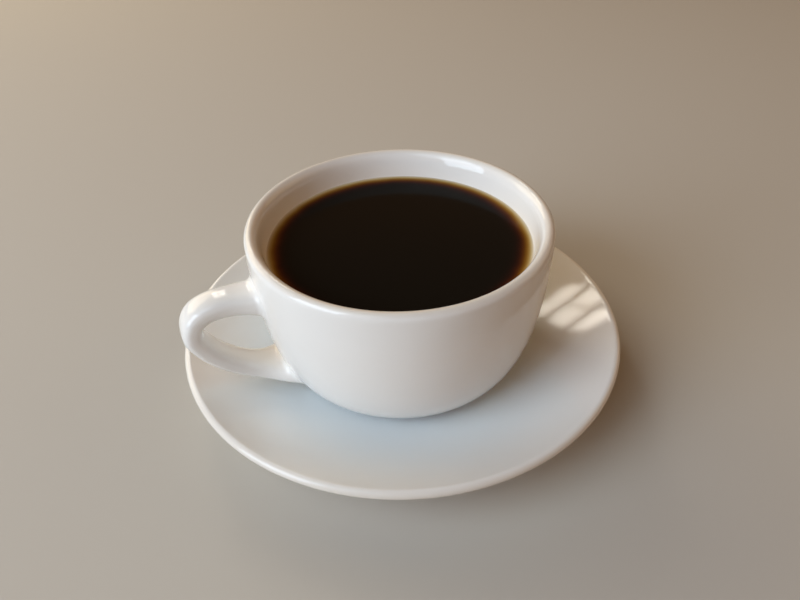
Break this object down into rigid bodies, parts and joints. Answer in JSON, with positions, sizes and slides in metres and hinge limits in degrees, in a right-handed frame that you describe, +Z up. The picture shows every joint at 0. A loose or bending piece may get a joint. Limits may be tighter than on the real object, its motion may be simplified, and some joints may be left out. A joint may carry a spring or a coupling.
{
  "type": "cup of black coffee on a saucer",
  "caption": "Round white porcelain cup with a loop handle, filled with black coffee to just below its lip, standing on a matching shallow saucer.",
  "frame": {"origin": "middle of the saucer's foot, on the table", "axes": "+Z up along the common axis of saucer, cup and coffee; the cup's handle points along -X"},
  "size_m": [0.15, 0.15, 0.0616],
  "materials": {
    "porcelain": "white hotel porcelain under a clear, smooth, glossy glaze",
    "coffee": "black coffee: nearly black brown liquid with a still, mirror-like surface, amber where it is thin at the wall"
  },
  "bodies": {
    "root": {"saucer": "porcelain", "cup": "porcelain", "coffee": "coffee"}
  },
  "joints": []
}
